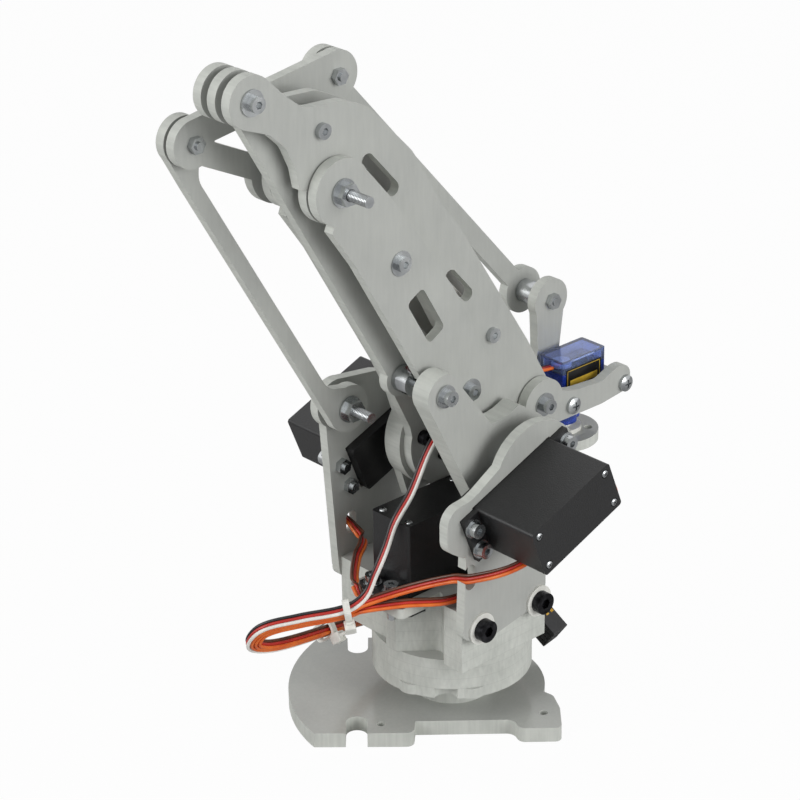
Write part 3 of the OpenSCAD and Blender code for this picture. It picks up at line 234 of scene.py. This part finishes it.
def worked_metal(name, dark, light, roughness, grain, stretch=(1, 1, 1), thread_at=None):
    """A metal whose shade and gloss vary a little in patches of the given grain.  Where
    thread_at gives the x and z of an axis along Y, a thread is cut round it, with painted
    shade darkening its grooves."""
    patch_height = 0.03
    thread_r, pitch = mm(2.2), mm(0.7)
    material, shader, place = start_finish(name, {"Metallic": 1.0})
    colour, patches = mottled(material, place, dark, light, grain, 3.0, stretch)
    gloss = add_node(material, "MapRange", {0: patches, 3: roughness - 0.05,
                                            4: roughness + 0.08})
    join(material, gloss.outputs[0], shader, "Roughness")
    height = add_node(material, "Math", {0: patches, 1: patch_height},
                      operation="MULTIPLY").outputs[0]
    if thread_at:
        spot = add_node(material, "SeparateXYZ", {0: place.outputs["Object"]})
        flat = add_node(material, "CombineXYZ", {0: spot.outputs[0], 2: spot.outputs[2]})
        reach = add_node(material, "VectorMath",
                         {0: flat.outputs[0], 1: (thread_at[0], 0, thread_at[1])},
                         operation="DISTANCE")
        on_shank = add_node(material, "Math", {0: reach.outputs["Value"], 1: thread_r},
                            operation="LESS_THAN").outputs[0]
        turn = add_node(material, "Math", {0: spot.outputs[1], 1: 2 * math.pi / pitch},
                        operation="MULTIPLY")
        wave = add_node(material, "Math", {0: turn.outputs[0]}, operation="SINE")
        ridge = add_node(material, "Math", {0: wave.outputs[0], 1: on_shank},
                         operation="MULTIPLY")
        # The thread's grooves are darkened towards #57585a: painted shade in the recesses
        groove_shade = add_node(material, "MapRange", {0: ridge.outputs[0], 1: -1.0, 2: 0.0,
                                                 3: 1.0, 4: 0.0})
        colour = add_node(material, "Mix", {0: groove_shade.outputs[0], 6: colour,
                                            7: linear("#57585a")}, data_type="RGBA").outputs[2]
        height = add_node(material, "Math", {0: height, 1: ridge.outputs[0]},
                          operation="ADD").outputs[0]
    join(material, colour, shader, "Base Color")
    bump = add_node(material, "Bump", {"Strength": 0.4, "Distance": mm(0.1),
                                       "Height": height})
    join(material, bump.outputs[0], shader, "Normal")
    return material


def moulded(name, dark, light, roughness, grain, **glass):
    """A moulded or extruded plastic: one colour with a slight drift, and a faint ripple."""
    material, shader, place = start_finish(
        name, {"IOR": glass.get("ior", 1.5), "Roughness": roughness,
               "Transmission Weight": glass.get("see_through", 0.0)})
    colour, ripple = mottled(material, place, dark, light, grain)
    join(material, colour, shader, "Base Color")
    bump = add_node(material, "Bump", {"Strength": 0.15, "Distance": mm(0.1),
                                       "Height": ripple})
    join(material, bump.outputs[0], shader, "Normal")
    return material


# Grey PVC sheet, cut and assembled upright, lying, or glued up from 4.1 mm layers
standing_sheet = grey_sheet("pvc_sheet_on_edge", 1)
lying_sheet = grey_sheet("pvc_sheet_flat", 2, 0.13)
glued_block = grey_sheet("pvc_sheet_block", 2, 0.3, 0.0041, 0.0172)
case_nylon = servo_nylon()
# Bright zinc on steel: cool white metal with cloudy gloss, and a 0.7 mm thread where a
# bolt's end stands proud of its nut
zinc, elbow_zinc, follower_zinc = (
    worked_metal(name, "#a8abad", "#cdd0d1", 0.2, 0.006, thread_at=axis) for name, axis in (
        ("zinc_plated_steel", None), ("zinc_thread_elbow", (-0.05984, 0.2229)),
        ("zinc_thread_follower", (-0.0265, 0.1211))))
# Oiled black oxide on steel: dark with soft grey glints
black_oxide = worked_metal("black_oxide_steel", "#1b1b1d", "#3a3a3d", 0.36, 0.002)
# Turned aluminium: pale, with fine tool marks
turned_aluminium = worked_metal("turned_aluminium", "#b9bbbd", "#d6d7d8", 0.3, 0.0012,
                                (1, 0.1, 1))
# Drawn steel: a motor's can, streaked along its length
drawn_can = worked_metal("drawn_steel_can", "#909294", "#b4b5b6", 0.3, 0.002, (1, 0.2, 1))
# Turned brass: gears and contacts
brass = worked_metal("turned_brass", "#a8822f", "#cfa956", 0.3, 0.001)
# Natural nylon, moulded: milky white
white_nylon = moulded("natural_nylon", "#dcdcd5", "#f0f0ea", 0.42, 0.004)
# PVC insulation, extruded: glossy, even colour
orange_wire, red_wire, brown_wire, black_wire, white_wire = (
    moulded("pvc_wire_" + name, dark, light, 0.3, 0.006) for name, dark, light in (
        ("orange", "#d9591a", "#ee7a2c"), ("red", "#a81d18", "#c73226"),
        ("brown", "#4a2618", "#653a24"), ("black", "#141315", "#252427"),
        ("white", "#dedcd6", "#f2f0eb")))
# Black nylon, moulded: the plugs' housings
plug_black = moulded("plug_nylon", "#121214", "#1e1e20", 0.5, 0.002)
# Tinted polycarbonate: clear blue, glossy, with the works showing through
blue_case = moulded("blue_polycarbonate", "#2447c4", "#3560dd", 0.16, 0.01,
                    ior=1.58, see_through=0.62)
clear_cover = moulded("clear_blue_polycarbonate", "#a5bdff", "#b9ccff", 0.08, 0.01,
                      ior=1.58, see_through=0.9)
# Polyester film, printed: a black ground with gold ink
label_black = moulded("label_film_black", "#0d0d0e", "#171718", 0.28, 0.004)
label_gold = moulded("label_ink_gold", "#b3932c", "#cbab3c", 0.35, 0.002)
# Glass-fibre board under a green solder mask
board_green = moulded("circuit_board", "#123a22", "#1c5230", 0.35, 0.002)

finishes = {
    standing_sheet: ["side_plate_right", "side_plate_left", "crank", "lower_arm_right",
                     "lower_arm_left", "drive_link", "forearm_right", "forearm_left",
                     "triangle", "follower_link", "top_link", "bracket_right",
                     "bracket_left", "bracket_bars", "lower_arm_standoffs",
                     "forearm_standoffs", "lower_arm_hub"],
    lying_sheet: ["base_plate", "tool_disc", "column"],
    glued_block: ["turret_ring", "turret_deck"],
    case_nylon: ["base_servo_case", "right_servo_case", "left_servo_case", "servo_covers"],
    drawn_can: ["servo_motors"],
    turned_aluminium: ["base_output", "crank_output", "lower_arm_output"],
    black_oxide: ["column_screws", "side_bolts", "crank_screws", "hub_bolts"],
    zinc: ["crank_pin", "forearm_screws", "rear_bolt", "wrist_bolt", "level_bolt",
           "servo_screws", "shoulder_pin", "lower_arm_screws", "triangle_screws",
           "bracket_screws"],
    elbow_zinc: ["elbow_bolt"],
    follower_zinc: ["follower_bolt"],
    white_nylon: ["nylon_washers", "wrist_output"],
    blue_case: ["wrist_servo_case"],
    clear_cover: ["wrist_servo_cover"],
}
for finish, names in finishes.items():
    for name in names:
        nodes[name].data.materials.clear()
        nodes[name].data.materials.append(finish)


# ---- Making pieces ----------------------------------------------------------
def make_piece(name, heap, materials, body, smooth=False):
    """A mesh piece from a heap of shapes, riding on a body."""
    mesh = bpy.data.meshes.new(name)
    mesh.from_pydata([tuple(p) for p in heap.points], [], heap.faces)
    for material in materials:
        mesh.materials.append(material)
    for i, polygon in enumerate(mesh.polygons):
        polygon.use_smooth = smooth
        polygon.material_index = heap.which[i]
    mesh.update()
    piece = bpy.data.objects.new(name, mesh)
    bpy.context.scene.collection.objects.link(piece)
    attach(piece, body)
    return piece


def eased_block(low, high, ease):
    """Points and faces of a block with its edges eased."""
    shape = bmesh.new()
    bmesh.ops.create_cube(shape, size=1)
    for v in shape.verts:
        v.co = Vector([(low[i] + high[i]) / 2 + v.co[i] * (high[i] - low[i])
                       for i in range(3)])
    bmesh.ops.bevel(shape, geom=shape.edges[:], offset=ease, segments=2, profile=0.6,
                    affect="EDGES")
    shape.verts.index_update()
    points = [v.co.copy() for v in shape.verts]
    faces = [[v.index for v in f.verts] for f in shape.faces]
    shape.free()
    return points, faces


def tube_faces(rings, count):
    """Faces that join rings of this many points each, with both ends closed."""
    faces = [[i * count + k, i * count + (k + 1) % count,
              (i + 1) * count + (k + 1) % count, (i + 1) * count + k]
             for i in range(rings - 1) for k in range(count)]
    return faces + [list(range(count))[::-1],
                    [(rings - 1) * count + k for k in range(count)]]


def turned(profile, count=24):
    """Points and faces of a shape turned about Z from (radius, height) pairs, ends closed."""
    points = [Vector((r * math.cos(2 * math.pi * k / count),
                      r * math.sin(2 * math.pi * k / count), z))
              for r, z in profile for k in range(count)]
    return points, tube_faces(len(profile), count)


class Heap:
    """Gathers several shapes, each with its own finish, into one piece."""

    def __init__(self):
        self.points, self.faces, self.which = [], [], []

    def add(self, shape, place=None, finish=0):
        start = len(self.points)
        self.points += [place @ p for p in shape[0]] if place else shape[0]
        self.faces += [[start + i for i in f] for f in shape[1]]
        self.which += [finish] * len(shape[1])


# ---- Servo leads ------------------------------------------------------------
wire_d = mm(1.3)
lead_pitch = mm(1.5)
plug_t = mm(2.6)
plug_pitch = plug_t + mm(0.2)
plug_gap = mm(0.5)
tie_at = (0, 5)
# Across the ribbons: round the shared loop, and at each lead's own start
loop_axis = Vector((-43, -63, -54)).normalized()
level_hint = Vector((0, -1, 0))
bundle = [mm(*p) for p in (
    (-50, 2, 56), (-64, 12, 53.5), (-74, 20.5, 50), (-75, 25, 43), (-64, 26, 37.5),
    (-38, 28.5, 32), (-12, 35.5, 24), (20, 33, 21), (38, 13, 25), (40.3, 4.5, 27),
    (41.2, -1, 22.8))]
bundle_end = len(bundle) - 1
right_path = [mm(*p) for p in (
    (19.3, -60, 107.9), (22.4, -60, 101.6), (23.1, -59, 97.5), (14, -56, 92.4), (0, -53, 87),
    (-16, -49, 81), (-24.5, -36, 74.5), (-26, -28, 72), (-34, -14, 65.6), (-45.5, -2.5, 59.6))]
base_path = [mm(*p) for p in (
    (11.9, -5.4, 80.6), (17, -9, 78), (15, -18, 66), (-2, -25, 61.5), (-24, -25, 61.5),
    (-36, -14, 60.3), (-45, -3.5, 57.6))]
left_path = [mm(*p) for p in (
    (19.3, 60, 107.9), (22.4, 60, 101.6), (23.1, 59, 97.5), (14, 56, 92.4), (0, 52, 87),
    (-14, 45, 80), (-21, 38, 73.5), (-21.4, 30, 69.5), (-23, 23, 67), (-31, 17.5, 65),
    (-39.2, 9.8, 61.6), (-43.6, 1.8, 55.8))]
wrist_path = [mm(*p) for p in (
    (-4, -3, 118), (-14, -4, 111.5), (-23.5, -4, 96.5), (-31.6, -4, 87.6), (-36, -4, 79),
    (-41, -3.5, 70), (-44.5, -1.9, 61.9))]


def way(route, i):
    """Direction of a route at one of its points."""
    return (route[min(i + 1, len(route) - 1)] - route[max(i - 1, 0)]).normalized()


def square_to(along, hint):
    """The direction nearest to the hint that is square to the way along."""
    return (hint - hint.dot(along) * along).normalized()


def bundle_axes(i):
    """Directions at a point of the bundle: across the ribbons, through the stack, along."""
    along = way(bundle, i)
    wide = square_to(along, loop_axis)
    return wide, along.cross(wide), along


def lead_route(path, place):
    """A lead's own path, then its place in the bundle; the leads spread towards their plugs."""
    pitches = [lead_pitch] * (bundle_end - 1) + [mm(2.1), plug_pitch]
    return list(path) + [point + place * pitch * bundle_axes(i)[1]
                         for i, (point, pitch) in enumerate(zip(bundle, pitches))]


def eased_line(route, hints, steps=8):
    """A smooth line through the route's points, with the ribbon's width hint at each step."""
    line, turns = [], []
    for i in range(len(route) - 1):
        a, b = route[i], route[i + 1]
        span = (b - a).length
        out, into = way(route, i) * span, way(route, i + 1) * span
        for k in range(steps):
            t = k / steps
            line.append(a * (2 * t ** 3 - 3 * t ** 2 + 1) + out * (t ** 3 - 2 * t ** 2 + t)
                        + b * (3 * t ** 2 - 2 * t ** 3) + into * (t ** 3 - t ** 2))
            turns.append(hints[i].lerp(hints[i + 1], t))
    return line + [route[-1]], turns + [hints[-1]]


def wire_ribbon(name, route, hints, colours, body, node):
    """Three round wires side by side, moulded into one flat lead."""
    line, turns = eased_line(route, hints)
    heap, sides = Heap(), 10
    shared = mm(0.05)
    step = 2 * math.pi / sides
    for wire, shift in enumerate((1, 0, -1)):
        points = []
        for i, point in enumerate(line):
            along = way(line, i)
            wide = square_to(along, turns[i])
            thin = along.cross(wide)
            centre = point + wide * shift * (wire_d - shared)
            points += [centre + wire_d / 2 * (math.cos(step * k) * wide
                                              + math.sin(step * k) * thin)
                       for k in range(sides)]
        heap.add((points, tube_faces(len(line), sides)), finish=wire)
    piece = make_piece(name, heap, colours, body, smooth=True)
    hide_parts(node)
    return piece, line


def bundle_place(i):
    """Placing at a point of the bundle: X across the leads, Z along them."""
    wide, thin, along = bundle_axes(i)
    return Matrix((
        (wide.x, thin.x, along.x, bundle[i].x), (wide.y, thin.y, along.y, bundle[i].y),
        (wide.z, thin.z, along.z, bundle[i].z), (0, 0, 0, 1)))


def lead_plug(number, place):
    """A three-way socket housing: an eased black block with the brass of its three contacts
    in the latch windows, and at its end three darker blocks, painted shade for their open
    mouths."""
    heap = Heap()
    y = place * plug_pitch
    half_w, length = mm(3.85), mm(14)
    at_end = bundle_place(bundle_end)
    heap.add(eased_block((-half_w, y - plug_t / 2, plug_gap),
                         (half_w, y + plug_t / 2, plug_gap + length), mm(0.35)), at_end)
    for x in (-2.54, 0, 2.54):
        heap.add(eased_block((mm(x - 0.7), y - plug_t / 2 - mm(0.06), mm(3.5)),
                             (mm(x + 0.7), y + plug_t / 2 + mm(0.06), mm(6.9)), mm(0.1)),
                 at_end, 1)
        # Darker blocks at the end: painted shade standing in for the contacts' open mouths
        heap.add(eased_block((mm(x - 0.55), y - mm(0.55), mm(14.1)),
                             (mm(x + 0.55), y + mm(0.55), mm(14.55)), mm(0.1)), at_end, 2)
    piece = make_piece(f"lead_plug_{number}", heap, [plug_black, brass, label_black],
                       "turret")
    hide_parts("lead_plugs")
    return piece


def cable_tie(number, i):
    """A ratchet tie: a ribbed band with rounded corners, its square head and a cut tail."""
    heap, place = Heap(), bundle_place(i)
    count = 48
    half_x, half_y, wall, width = mm(2.45), mm(3.6), mm(1.0), mm(2.5)
    rib_depth = mm(0.08)
    points = []
    for k in range(count):
        a = 2 * math.pi * k / count
        cos, sin = math.cos(a), math.sin(a)
        # A rounded oblong: the lower the power, the squarer its corners
        for grow, z in ((0, -0.5), (1, -0.5), (1, 0.5), (0, 0.5)):
            rib = rib_depth * (k % 2) * grow
            rx, ry = half_x + wall * grow - rib, half_y + wall * grow - rib
            points.append(Vector((rx * math.copysign(abs(cos) ** 0.5, cos),
                                  ry * math.copysign(abs(sin) ** 0.5, sin), width * z)))
    faces = [[4 * k + j, 4 * k + (j + 1) % 4, 4 * ((k + 1) % count) + (j + 1) % 4,
              4 * ((k + 1) % count) + j] for k in range(count) for j in range(4)]
    heap.add((points, faces), place)
    heap.add(eased_block((half_x, mm(-6.5), mm(-2)), (half_x + mm(4), mm(-2), mm(2)), mm(0.5)),
             place)
    heap.add(eased_block((half_x + mm(1.2), mm(-9), mm(-1.2)),
                         (half_x + mm(2.3), mm(-1.5), mm(1.2)), mm(0.25)), place)
    piece = make_piece(f"cable_tie_{number}", heap, [white_nylon], "turret")
    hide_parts("cable_ties")
    return piece


# Wires of a servo's own lead, and of the wrist servo's extension
servo_colours = [orange_wire, red_wire, brown_wire]
wrist_colours = [white_wire, red_wire, black_wire]
ties = [cable_tie(number, i) for number, i in enumerate(tie_at, 1)]
# Each lead's node, own path, place in the stack and wires, from the bundle's inside out
leads = (("lead_left", left_path, -1.5, servo_colours),
         ("lead_base", base_path, -0.5, servo_colours),
         ("lead_right", right_path, 0.5, servo_colours),
         ("lead_wrist", wrist_path, 1.5, wrist_colours))
for number, (name, path, place, colours) in enumerate(leads, 1):
    route = lead_route(path, place)
    hints = [level_hint.lerp(loop_axis, i / len(path)) if i < len(path) else loop_axis
             for i in range(len(route))]
    piece, line = wire_ribbon("dressed_" + name, route, hints, colours, "turret", name)
    plug = lead_plug(number, place)


# ---- Servo cover screws -----------------------------------------------------
def servo_places():
    """Where each servo's own frame sits: the ears' upper face at Z 0, output upwards."""
    tilt = math.radians(21.47)
    right = (Matrix.Translation(shoulder) @ Matrix.Rotation(-tilt, 4, "Y")
             @ Matrix.Rotation(-math.pi / 2, 4, "X"))
    return {"base": Matrix.Translation(mm(0, 0, 58.2)) @ Matrix.Rotation(math.pi, 4, "X"),
            "right": right,
            "left": Matrix.Scale(-1, 4, Vector((0, 1, 0))) @ right}


def cover_screws():
    """Four cross-head screws in the corners of each servo's bottom cover, each cross drawn as
    black bars, painted shade standing in for the recess.
    """
    head = [(mm(1.45), 0), (mm(1.5), mm(0.35)), (mm(1.3), mm(0.75)), (mm(0.8), mm(1.0)),
            (mm(0.05), mm(1.1))]
    cover_at, slot_turn = -28.35, 0.4
    for side, place in servo_places().items():
        heap = Heap()
        for x in (-27.3, 7.4):
            for y in (-6.9, 6.9):
                spot = place @ Matrix.Translation(mm(x, y, cover_at)) @ Matrix.Rotation(
                    math.pi, 4, "X")
                heap.add(turned(head), spot)
                # Black bars for the cross: painted shade standing in for the recess in the head
                for turn in (slot_turn, slot_turn + math.pi / 2):
                    heap.add(eased_block((mm(-0.85), mm(-0.17), mm(0.7)),
                                         (mm(0.85), mm(0.17), mm(1.13)), mm(0.05)),
                             spot @ Matrix.Rotation(turn, 4, "Z"), 1)
        make_piece(f"cover_screws_{side}", heap, [zinc, label_black], "turret")


cover_screws()


# ---- Lead inside the arm ----------------------------------------------------
def inner_leads():
    """The wrist servo's lead inside the arm: a stretch along each body it rides on."""
    for node, body, path in (
            ("wrist_lead_lower", "lower_arm", [(-1.14, 118.81), (-22.94, 154.72),
                                               (-36.65, 178.57), (-55.86, 215.98)]),
            ("wrist_lead_fore", "forearm", [(-49.3, 221.57), (-20.04, 191.39),
                                            (15.54, 151.32), (39.56, 124.52)]),
            ("wrist_lead_bracket", "wrist_bracket", [(43.62, 121.69), (48.12, 120.69),
                                                     (52.32, 120.19)])):
        route = [Vector(mm(x, 0.8, z)) for x, z in path]
        # The servo's own lead meets its extension inside the arm
        colours = servo_colours if body == "wrist_bracket" else wrist_colours
        wire_ribbon("dressed_" + node, route, [level_hint] * len(route), colours, body, node)


inner_leads()


# ---- Wrist servo ------------------------------------------------------------
def wrist_works():
    """What shows through the blue case: the motor can, a gear train, a white bush and a
    circuit board; and the sticker on the case's side."""
    low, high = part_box("wrist_servo_case")
    mid_y = (low.y + high.y) / 2
    teeth = 24
    rim, tooth = 2 * teeth, mm(0.35)
    heap = Heap()
    # Motor can
    heap.add(turned([(mm(4.2), 0), (mm(4.4), mm(0.3)), (mm(4.4), mm(13.5)), (mm(3.6), mm(14))]),
             Matrix.Translation((mm(70.3), mid_y, mm(100))))
    # Gears: place, outer radius and thickness
    for x, z, r, t in ((57.5, 98.6, 4.2, 1.6), (63.5, 100.6, 3.0, 1.4),
                       (58.5, 102.6, 3.6, 1.2)):
        points = [Vector(((mm(r) - tooth * (k % 2)) * math.cos(math.pi * k / teeth),
                          (mm(r) - tooth * (k % 2)) * math.sin(math.pi * k / teeth),
                          end * mm(t) / 2)) for end in (-1, 1) for k in range(rim)]
        heap.add((points, tube_faces(2, rim)), Matrix.Translation((mm(x), mid_y, mm(z))), 1)
    # Bush under the cover
    heap.add(turned([(mm(3.4), 0), (mm(3.4), mm(1.2)), (mm(2.6), mm(1.6)), (mm(2.4), mm(1.2)),
                     (mm(0.9), mm(1.2)), (mm(0.9), mm(2.4)), (mm(0.3), mm(2.4))], 32),
             Matrix.Translation((mm(58.2), mid_y, mm(119.2))), 4)
    # Circuit board, and the parts on it: place, then width, depth and height
    heap.add(eased_block((mm(54.4), mid_y - mm(4.6), mm(117.2)),
                         (mm(73.8), mid_y + mm(4.6), mm(118.2)), mm(0.15)), None, 2)
    for x, y, w, d, h in ((56, -2.5, 4.5, 4.5, 1.4), (62.5, -3.5, 3, 2, 0.9),
                          (62.5, 0.5, 5, 3, 1.1), (69, -3, 2.5, 5.5, 1.6)):
        heap.add(eased_block((mm(x), mid_y + mm(y), mm(118.1)),
                             (mm(x + w), mid_y + mm(y + d), mm(118.1 + h)), mm(0.15)), None, 3)
    make_piece("wrist_works", heap, [drawn_can, brass, board_green, label_black, white_nylon],
               "wrist_bracket")
    # Sticker: its ground, then the border's three sides that show and a wide band
    face = low.y
    plate = Heap()
    plate.add(eased_block((mm(54.4), face - mm(0.12), mm(105.5)),
                          (mm(73.2), face + mm(0.05), mm(119.9)), mm(0.04)))
    for a, b in (((55.1, 119), (72.5, 119.3)), ((55.1, 106.2), (55.4, 119.3)),
                 ((72.2, 106.2), (72.5, 119.3)), ((56.6, 112.6), (71.2, 115.2))):
        plate.add(eased_block((mm(a[0]), face - mm(0.16), mm(a[1])),
                              (mm(b[0]), face - mm(0.08), mm(b[1])), mm(0.02)), None, 1)
    make_piece("wrist_label", plate, [label_black, label_gold], "wrist_bracket")


wrist_works()


# ---- Floor and light --------------------------------------------------------
def lay_floor():
    """A pale studio floor, which the camera sees nearly white."""
    size, glow_share = 4, 0.97
    mesh = bpy.data.meshes.new("floor")
    mesh.from_pydata([(-size, -size, 0), (size, -size, 0), (size, size, 0), (-size, size, 0)],
                     [], [[0, 1, 2, 3]])
    floor = bpy.data.objects.new("floor", mesh)
    floor.location.z = cad_box[0][2] - mm(0.2)
    bpy.context.scene.collection.objects.link(floor)
    paper = bpy.data.materials.new("studio_paper")
    paper.use_nodes = True
    shader = paper.node_tree.nodes["Principled BSDF"]
    shader.inputs["Base Color"].default_value = linear("#c4c4c4")
    shader.inputs["Roughness"].default_value = 0.9
    out = paper.node_tree.nodes["Material Output"]
    path = add_node(paper, "LightPath", {})
    share = add_node(paper, "Math", {0: path.outputs["Is Camera Ray"], 1: glow_share},
                     operation="MULTIPLY")
    glow = add_node(paper, "Emission", {"Color": (1, 1, 1, 1), "Strength": 1.0})
    both = add_node(paper, "MixShader", {0: share.outputs[0], 1: shader.outputs[0],
                                         2: glow.outputs[0]})
    paper.node_tree.links.new(both.outputs[0], out.inputs["Surface"])
    mesh.materials.append(paper)


def hang_light(name, place, power, size):
    """A square soft lamp that looks at the middle of the arm."""
    middle = Vector((0, 0, 0.12))
    lamp = bpy.data.lights.new(name, "AREA")
    lamp.energy = power
    lamp.size = size
    light = bpy.data.objects.new(name, lamp)
    light.location = place
    light.rotation_euler = (middle - Vector(place)).to_track_quat("-Z", "Y").to_euler()
    bpy.context.scene.collection.objects.link(light)


def light_studio():
    """Two soft lamps at the sides, a weak one above, and a white room that lights less than
    it shows."""
    lit, shows = 0.36, 1.0
    lay_floor()
    hang_light("key", (-1.1, 0.35, 0.7), 8.0, 0.8)
    hang_light("over", (0.1, -0.2, 1.4), 1.2, 1.0)
    hang_light("fill", (0.2, -1.3, 0.5), 10.0, 0.8)
    world = bpy.data.worlds.new("studio")
    bpy.context.scene.world = world
    world.use_nodes = True
    tree = world.node_tree
    glow = tree.nodes["Background"]
    glow.inputs["Color"].default_value = (1, 1, 1, 1)
    path = add_node(world, "LightPath", {})
    seen = add_node(world, "Math", {0: path.outputs["Is Camera Ray"],
                                    1: path.outputs["Is Transmission Ray"]},
                    operation="MAXIMUM")
    shown = add_node(world, "Math", {0: seen.outputs[0], 1: path.outputs["Is Glossy Ray"]},
                     operation="MAXIMUM")
    level = add_node(world, "MapRange", {0: shown.outputs[0], 3: lit, 4: shows})
    tree.links.new(level.outputs[0], glow.inputs["Strength"])


light_studio()
bpy.context.scene.view_settings.view_transform = "Standard"
